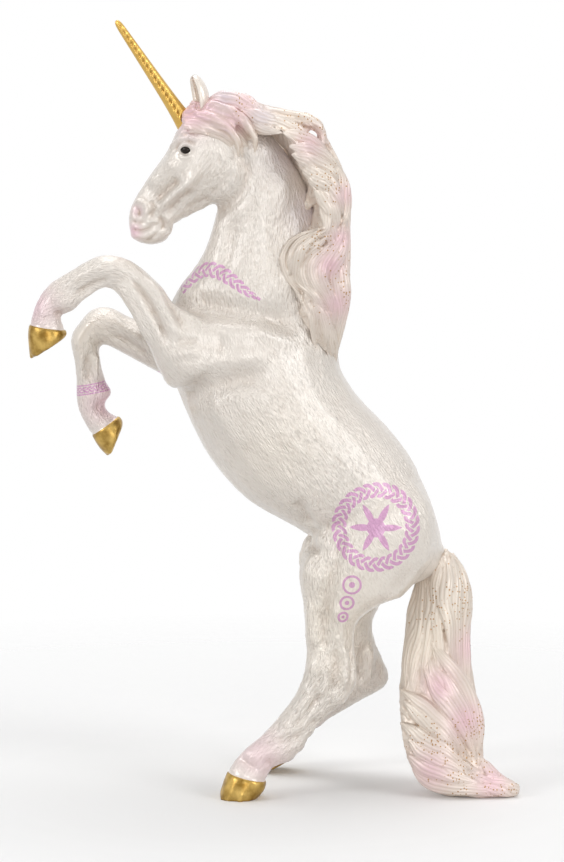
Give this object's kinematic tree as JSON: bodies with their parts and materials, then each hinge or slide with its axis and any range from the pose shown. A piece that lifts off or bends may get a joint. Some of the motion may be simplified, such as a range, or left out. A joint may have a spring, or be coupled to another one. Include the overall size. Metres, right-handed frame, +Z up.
{
  "type": "unicorn figurine",
  "caption": "Rearing unicorn figurine that stands on its hind hooves and tail, with a spiral horn, flowing mane and raised forelegs.",
  "frame": {"origin": "on the floor under the middle of the figure's box", "axes": "+Z up; the head and forelegs point towards -X; the figure's left side faces -Y"},
  "size_m": [0.1142, 0.0404, 0.1803],
  "materials": {
    "pearl_coat": "pearl white soft gloss with engraved coat strokes",
    "tinted_hair": "pearl white with rose and gold tints in grooved strands",
    "gold_paint": "metallic gold paint on plastic",
    "eye_black": "high gloss black"
  },
  "bodies": {
    "root": {"torso": "pearl_coat", "neck_and_head": "pearl_coat", "left_ear": "pearl_coat", "right_ear": "pearl_coat", "left_eye": "eye_black", "right_eye": "eye_black", "horn": "gold_paint", "forelock": "tinted_hair", "mane": "tinted_hair", "tail": "tinted_hair", "left_foreleg": "pearl_coat", "right_foreleg": "pearl_coat", "left_hind_leg": "pearl_coat", "right_hind_leg": "pearl_coat", "left_fore_hoof": "gold_paint", "right_fore_hoof": "gold_paint", "left_hind_hoof": "gold_paint", "right_hind_hoof": "gold_paint"}
  },
  "joints": []
}
